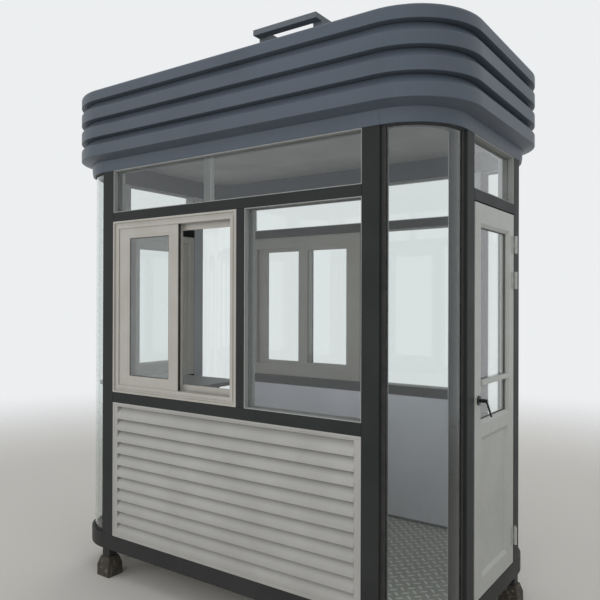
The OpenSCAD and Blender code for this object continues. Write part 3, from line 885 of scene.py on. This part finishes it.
@dataclass
class LouvredPanel:
    """A pressed louvre panel below the windows: a stepped border round overlapping blades."""

    side: Side
    low: float = 250.0
    high: float = 1044.0
    border: float = 38.0
    rail: float = 22.0
    lip: float = 12.0
    blades: int = 11
    sheet: float = 2.6
    depth: float = 40.0
    smooth_under: float = 35.0

    @property
    def pitch(self) -> float:
        """Distance from one blade to the next."""
        return (self.high - self.low - 2 * self.rail) / self.blades

    def build(self) -> None:
        """Builds the border and its blades as one piece for this wall."""
        outline = Rect(-self.side.half_bay, self.side.half_bay, self.low, self.high)
        hole = outline.inset(self.border, self.rail)
        border = Workpiece.ring(
            f"louvred_panel_{self.side.word}", outline, 0.5, self.depth,
            front=((self.lip, 0.5), (self.lip + 2.0, 3.5), (hole, 4.5), (hole, self.depth - 6.0)),
            back=((hole, self.depth), (hole, self.depth - 5.0)),
        ).soften(0.9)
        blade = self.build_blade(hole)
        copies = [blade.shifted("blade", (0, 0, k * self.pitch)) for k in range(1, self.blades)]
        border.join([blade, *copies]).stand(self.side).finish(
            Finishes.LOUVRE, "louvre", "louvre_panels")

    def build_blade(self, hole: Rect) -> Workpiece:
        """Folds one blade up from its lip.

        Args:
            hole: The opening inside the border.

        Returns:
            The lowest blade.
        """
        blade = Workpiece.block(
            "blade", (hole.left - 1, 2.0, hole.low - 4.0),
            (hole.right + 1, 2.0 + self.sheet, hole.low + 2.0))
        with blade.shaping():
            blade.pick(lambda middle, normal: normal.z > FACING)
            blade.rise((0, 0.5, 12), (0, 2.0, 10), (0, 3.5, 8), (0, 5.0, 8), (0, 6.5, 7.5),
                       (0, 7.0, 7), (0, 5.5, 7), (0, 2.0, 7))
            blade.pick(lambda middle, normal: normal.z < -FACING)
            blade.rise((0, 4.0, -0.5), (0, 2.5, 1.5))
        blade.choose()
        bpy.ops.object.shade_smooth_by_angle(angle=math.radians(self.smooth_under))
        return blade


@dataclass
class SlidingWindow:
    """A white plastic sliding window: a stepped track frame and two glazed sashes.

    bead is the glazing bead's profile, as insets from the opening and depths from the face.
    """

    side: Side
    outline: Rect
    outer_sash: Rect
    inner_sash: Rect
    depths: tuple[float, float] = (10.0, 31.0)
    jamb: float = 98.0
    stile: float = 78.0
    thick: float = 17.0
    lip: float = 25.0
    band: float = 46.0
    rib: float = 48.0
    flange: float = 80.0
    bead: Profile = ((-15.0, 0.0), (-14.0, 1.0), (-12.0, 1.0), (-1.5, 4.0), (0.0, 4.8))

    def build(self) -> None:
        """Builds the frame, the two sashes, their gaskets and the brush strip."""
        wall = self.side.word
        clear = self.outline.inset(self.rib, self.flange)
        Workpiece.ring(
            f"{wall}_window_track_frame", self.outline, 0.5, 56.0,
            front=((0.8, -2.0), (11.5, -2.0), (13.0, 8.0), (25.5, 8.0), (26.5, 3.5), (44.5, 3.5),
                   (self.band, 5.0), (self.band, 9.5), (self.lip, 9.5), (self.lip, 27.5),
                   (self.rib, 27.5), (self.rib, 30.5), (self.lip, 30.5), (self.lip, 48.5),
                   (clear, 48.5)),
            back=((clear, 56.0),),
        ).soften(0.8).stand(self.side).finish(
            Finishes.WINDOW, "window_upvc", f"{wall}_window_frame")
        front = self.side is Side.FRONT
        self.build_sash(f"{wall}_sash_outer", self.outer_sash, self.depths[0], front)
        self.build_sash(f"{wall}_sash_inner", self.inner_sash, self.depths[1], not front)
        self.build_brush(f"{wall}_sash_brush", front)

    def build_sash(self, node: str, outline: Rect, front: float, jamb_left: bool) -> None:
        """Builds one sash with its sloped glazing bead and grey gasket.

        Args:
            node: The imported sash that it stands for.
            outline: The sash's outer edge.
            front: Depth of its outer face.
            jamb_left: Whether the wider stile, in the jamb, is at the left.
        """
        left, right = (self.jamb, self.stile) if jamb_left else (self.stile, self.jamb)
        hole = Rect(outline.left + left, outline.right - right,
                    outline.low + self.stile, outline.high - self.stile)
        back = front + self.thick
        Workpiece.ring(
            f"{node}_profile", outline, front, back,
            front=((3.0, front), *((hole.inset(by), front + deep) for by, deep in self.bead),
                   (hole, front + 8.0)),
            back=(*((hole.inset(by), back - deep) for by, deep in self.bead), (hole, back - 7.5)),
        ).soften(0.5).stand(self.side).finish(Finishes.WINDOW, "window_upvc", node)
        for word, near, far in (("outside", front + 4.6, front + 5.9),
                                ("inside", back - 5.9, back - 4.6)):
            Workpiece.ring(
                f"{node}_gasket_{word}", hole.inset(-0.3), near, far,
                front=((2.0, near),), back=((2.0, far),),
            ).soften(0.3).stand(self.side).finish(Finishes.GASKET, "stop_strip")

    def build_brush(self, name: str, at_right: bool) -> None:
        """Builds the black brush strip on the outer sash's free edge.

        Args:
            name: The strip's name.
            at_right: Whether the free edge is the right one.
        """
        edge = self.outer_sash.right + 0.1 if at_right else self.outer_sash.left - 2.1
        strip = Workpiece.block(
            name, (edge, 11.5, self.outer_sash.low + 22.0),
            (edge + 2.0, 26.0, self.outer_sash.high - 22.0))
        with strip.shaping():
            strip.pick(lambda middle, normal: (normal.x if at_right else -normal.x) > FACING)
            strip.raise_inside(3.0, 1.2)
        strip.soften(0.4).stand(self.side).finish(Finishes.RUBBER, "stop_strip")


@dataclass
class DoorLeaf:
    """The white plastic door: a glazed upper half and a sunk lower panel.

    Each half's profile is a row of insets from its rectangle, and depths from the face.
    """

    leaf: Rect = Rect(-291.0, 294.0, 256.0, 2110.0)
    light: Rect = Rect(-196.0, 199.0, 1086.0, 2000.0)
    panel: Rect = Rect(-196.0, 199.0, 340.0, 1007.0)
    thick: float = 50.0
    light_steps: Profile = ((-17.0, 0.0), (-15.5, 1.5), (-3.0, 9.0), (0.0, 11.0), (0.0, 20.0))
    panel_steps: Profile = ((0.0, 0.0), (0.8, 1.5), (4.0, 2.0), (20.0, 11.2), (22.0, 12.0))

    def build(self) -> None:
        """Builds the leaf and its gaskets."""
        rail = (self.panel.high + self.light.low) / 2
        leaf = Workpiece.block(
            "door_leaf_profile", (self.leaf.left, 0.0, self.leaf.low),
            (self.leaf.right, self.thick, self.leaf.high))
        with leaf.shaping():
            leaf.cut((0.0, 0.0, rail), (0.0, 0.0, 1.0))
            for at, inwards in ((0.0, 1.0), (self.thick, -1.0)):
                for above, half, steps in (
                    (True, self.light, self.light_steps), (False, self.panel, self.panel_steps),
                ):
                    leaf.pick(lambda middle, normal: abs(middle.y - at) < CLOSE
                              and (middle.z > rail) is above)
                    for by, deep in steps:
                        leaf.step(half.inset(by), at + inwards * deep)
            leaf.open_through(*self.light.middle)
        leaf.soften(1.0).stand(Side.RIGHT_END).finish(
            Finishes.DOOR, "door_upvc", "door_leaf", body="door")
        for word, near, far in (("outside", 16.8, 19.8), ("inside", 26.2, 29.2)):
            Workpiece.ring(
                f"door_gasket_{word}", self.light.inset(-0.5), near, far,
                front=((4.0, near),), back=((4.0, far),),
            ).soften(0.5).stand(Side.RIGHT_END).finish(Finishes.GASKET, "stop_strip", body="door")


@dataclass
class PostCover:
    """A folded sheet cover over a post's inner face."""

    name: str
    side: Side
    left: float
    low: float = 250.5
    high: float = 2419.5
    depths: tuple[float, float] = (90.3, 91.8)
    gap: float = 0.5

    def build(self) -> None:
        """Builds the cover, its middle raised a little between two flat borders."""
        cover = Workpiece.block(
            self.name, (self.left + self.gap, self.depths[0], self.low),
            (self.left + POST - self.gap, self.depths[1], self.high))
        with cover.shaping():
            cover.pick(lambda middle, normal: normal.y > FACING)
            cover.raise_inside(9.0, 1.2)
        cover.soften(0.5).stand(self.side).finish(Finishes.COVER, "lining")


@dataclass
class GlassSeal:
    """A channel round a pane between the posts, on both sides of the glass: pale partly as
    sealant, partly as a painted highlight on the glass edge.
    """

    name: str
    side: Side
    pane: Rect
    glass: tuple[float, float] = (31.8, 38.2)
    faces: tuple[float, float] = (1.5, 89.5)
    width: float = 4.0
    nose: float = 1.5

    def build(self) -> None:
        """Builds the channel outside the pane, and the one inside it."""
        (start, end), (near, far) = self.faces, self.glass
        for word, front, back, outer, inner in (
            ("outside", start, near,
             ((self.width - self.nose, start), (self.width, start + self.nose)),
             ((self.width, near),)),
            ("inside", far, end, ((self.width, far),),
             ((self.width - self.nose, end), (self.width, end - self.nose))),
        ):
            Workpiece.ring(
                f"{self.name}_channel_{word}", self.pane, front, back, outer, inner
            ).soften(0.4).stand(self.side).finish(Finishes.SEAL_AND_GLINT, "glazing_bar")


SEALS = (
    GlassSeal("fixed_front", Side.FRONT, FIXED_BAY),
    GlassSeal("fixed_rear", Side.REAR, FIXED_BAY.flipped()),
    *(GlassSeal(f"transom_{side.word.removesuffix('_end')}", side,
                Rect(-side.half_bay, side.half_bay, *TRANSOM))
      for side in Side),
)


@dataclass
class CornerChannel:
    """The black channel of one bent corner glass: beads at its foot and top, and uprights."""

    name: str
    centre: tuple[float, float]
    start: float
    glass: tuple[float, float] = (264.0, 270.0)
    low: float = 250.2
    high: float = 2419.8
    bead: float = 8.0
    thick: float = 4.5
    gap: float = 0.2
    bend: float = 90.0
    upright: float = 5.0

    def build(self) -> None:
        """Builds the channel's eight bars as one piece."""
        near, far = self.glass[0] - self.gap, self.glass[1] + self.gap
        foot, top = self.low + self.bead, self.high - self.bead
        bars = []
        for radii in ((near - self.thick, near), (far, far + self.thick)):
            for heights, turn, sweep in (
                ((self.low, foot), 0.0, self.bend),
                ((top, self.high), 0.0, self.bend),
                ((foot + self.gap, top - self.gap), 0.0, self.upright),
                ((foot + self.gap, top - self.gap), self.bend - self.upright, self.upright),
            ):
                bars.append(Workpiece.swept(
                    self.name, self.centre, radii, heights, self.start + turn, sweep,
                ).soften(0.5))
        bars[0].join(bars[1:]).finish(Finishes.RUBBER, "stop_strip")


CHANNELS = (
    CornerChannel("corner_channel_front_right", (935.0, -390.0), -90.0),
    CornerChannel("corner_channel_rear_right", (935.0, 390.0), 0.0),
    CornerChannel("corner_channel_rear_left", (-935.0, 390.0), 90.0),
    CornerChannel("corner_channel_front_left", (-935.0, -390.0), 180.0),
)


@dataclass
class GlazedFrame:
    """The white plastic frame that holds the left end's pane: a flat band, a step and a bead."""

    side: Side = Side.LEFT_END
    pane: Rect = END_BAY
    band: float = 46.0
    width: float = 114.0
    bead: float = 14.0

    def build(self) -> None:
        """Builds the half outside the glass and the half inside it."""
        hole, bead = self.width, self.width - self.bead
        Workpiece.ring(
            "left_pane_frame_outside", self.pane, 6.0, 31.8,
            front=((self.band, 6.0), (self.band + 1.0, 12.0), (bead, 12.0), (hole, 22.0)),
            back=((hole, 31.8),),
        ).soften(0.8).stand(self.side).finish(Finishes.WINDOW, "window_upvc")
        # the inside half is painted lighter than the outside half: painted light for the dim room
        Workpiece.ring(
            "left_pane_frame_inside", self.pane, 38.2, 89.5,
            front=((hole, 38.2),),
            back=((self.band, 89.5), (self.band + 1.0, 70.0), (bead, 70.0), (hole, 54.0)),
        ).soften(0.8).stand(self.side).finish(Finishes.INSIDE, "window_upvc")


COVERS = tuple(
    PostCover(f"post_cover_{side.word}_{word}", side, left)
    for side in Side
    for word, left in (("left", -side.half_bay - POST), ("right", side.half_bay))
)


@dataclass(frozen=True)
class Lamp:
    """A broad soft lamp, in metres and watts, that neither the camera nor the glass shows."""

    name: str
    at: Point
    aim: Point
    size: float
    power: float

    def build(self) -> None:
        """Stands the lamp and turns it to its aim."""
        lamp = bpy.data.lights.new(self.name, "AREA")
        lamp.size = self.size
        lamp.energy = self.power
        holder = bpy.data.objects.new(self.name, lamp)
        bpy.context.scene.collection.objects.link(holder)
        holder.location = self.at
        holder.visible_camera = False
        holder.visible_glossy = False
        holder.visible_transmission = False
        way = Vector(self.aim) - Vector(self.at)
        holder.rotation_euler = way.to_track_quat("-Z", "Y").to_euler()


LAMPS = (
    Lamp("key", (-4.0, -6.0, 3.4), (0.0, 0.0, 1.5), 4.0, 55.0),
    Lamp("bounce", (-2.6, -5.6, 0.2), (-0.2, -0.7, 2.6), 2.4, 60.0),
    Lamp("front", (2.6, -6.0, 2.8), (-0.2, 0.0, 1.3), 3.0, 80.0),
    Lamp("fill", (4.6, -1.6, 8.0), (0.8, 0.0, 1.2), 3.0, 45.0),
    Lamp("back", (-2.0, 6.0, 6.5), (0.0, 0.0, 1.5), 4.0, 120.0),
)


@dataclass
class Studio:
    """The pale floor, the surroundings and the camera, in metres and radians."""

    eye: tuple[float, float, float] = (2.271, -3.190, 1.645)
    turn: float = 0.6110
    tilt: float = 0.0024
    roll: float = 0.0030
    lens_mm: float = 38.76
    floor_size: float = 40.0
    floor_colour: str = "#C9C6C0"
    floor_solid: float = 3.2
    floor_gone: float = 9.0
    sky_colour: str = "#F4F6F8"
    sky_light: float = 0.68
    sky_seen: float = 0.93

    def build(self) -> None:
        """Sets up the floor, the surroundings, the lamps and the camera."""
        self.build_floor()
        self.build_world()
        for lamp in LAMPS:
            lamp.build()
        self.build_camera()

    def build_floor(self) -> None:
        """Lays the plain floor that takes the booth's shadow."""
        bpy.ops.mesh.primitive_plane_add(size=self.floor_size)
        floor = bpy.context.object
        floor.name = "studio_floor"
        made = bpy.data.materials.new("studio_floor_paper")
        made.use_nodes = True
        tree = made.node_tree
        place = add(tree, "ShaderNodeTexCoord").outputs["Object"]
        away = add(tree, "ShaderNodeVectorMath", {0: place}, operation="LENGTH")
        fade = add(tree, "ShaderNodeMapRange", {
            "Value": away.outputs["Value"], "From Min": self.floor_solid,
            "From Max": self.floor_gone, "To Min": 1.0, "To Max": 0.0},
            interpolation_type="SMOOTHSTEP")
        shader = tree.nodes["Principled BSDF"]
        shader.inputs["Base Color"].default_value = linear(self.floor_colour)
        shader.inputs["Roughness"].default_value = 0.9
        tree.links.new(fade.outputs[0], shader.inputs["Alpha"])
        floor.data.materials.append(made)

    def build_world(self) -> None:
        """Lights the scene evenly, and shows near-white to the camera and to reflections."""
        world = bpy.data.worlds.new("studio_world")
        world.use_nodes = True
        tree = world.node_tree
        tree.nodes.clear()
        path = add(tree, "ShaderNodeLightPath")
        seen = add(tree, "ShaderNodeMath", {
            0: path.outputs["Is Camera Ray"], 1: path.outputs["Is Transmission Ray"]},
            operation="MAXIMUM")
        both = add(tree, "ShaderNodeMath", {0: seen, 1: path.outputs["Is Glossy Ray"]},
                   operation="MAXIMUM")
        strength = add(tree, "ShaderNodeMapRange", {
            "Value": both, "To Min": self.sky_light, "To Max": self.sky_seen})
        back = add(tree, "ShaderNodeBackground", {
            "Color": linear(self.sky_colour), "Strength": strength})
        add(tree, "ShaderNodeOutputWorld", {"Surface": back})
        bpy.context.scene.world = world

    def build_camera(self) -> None:
        """Stands the camera at the photograph's viewpoint."""
        data = bpy.data.cameras.new("camera")
        data.sensor_width = 36.0
        data.lens = self.lens_mm
        data.clip_end = 200.0
        camera = bpy.data.objects.new("camera", data)
        bpy.context.scene.collection.objects.link(camera)
        camera.matrix_world = Matrix.Translation(self.eye)
        for angle, axis in ((self.turn, "Z"), (math.pi / 2 + self.tilt, "X"), (self.roll, "Z")):
            camera.matrix_world @= Matrix.Rotation(angle, 4, axis)
        bpy.context.scene.camera = camera


def dress_nodes() -> None:
    """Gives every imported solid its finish, also where a made piece stands for it."""
    finishes = {node: edges.finish for edges in SOFT_EDGES for node in edges.widths}
    finishes |= {node: finish for finish, nodes in OTHER_NODES for node in nodes}
    for name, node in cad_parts.items():
        made = finishes[name].material()
        if not node.data.materials:
            node.data.materials.append(made)
        for one in node.material_slots:
            one.material = made


def main() -> None:
    """Builds the booth's looks in order."""
    logging.basicConfig(level=logging.INFO, format="%(name)s: %(message)s")
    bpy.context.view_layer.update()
    Studio().build()
    dress_nodes()
    for edges in SOFT_EDGES:
        edges.build()
    for side in (Side.FRONT, Side.REAR, Side.LEFT_END):
        LouvredPanel(side).build()
    SlidingWindow(Side.FRONT, WINDOW_BAY, JAMB_SASH, JAMB_SASH).build()
    SlidingWindow(Side.REAR, WINDOW_BAY.flipped(), JAMB_SASH.flipped(),
                  SHUT_SASH.flipped()).build()
    DoorLeaf().build()
    for piece in (*SEALS, *CHANNELS, *COVERS, GlazedFrame()):
        piece.build()
    bpy.context.scene.view_settings.view_transform = "Standard"


if __name__ == "__main__":
    main()
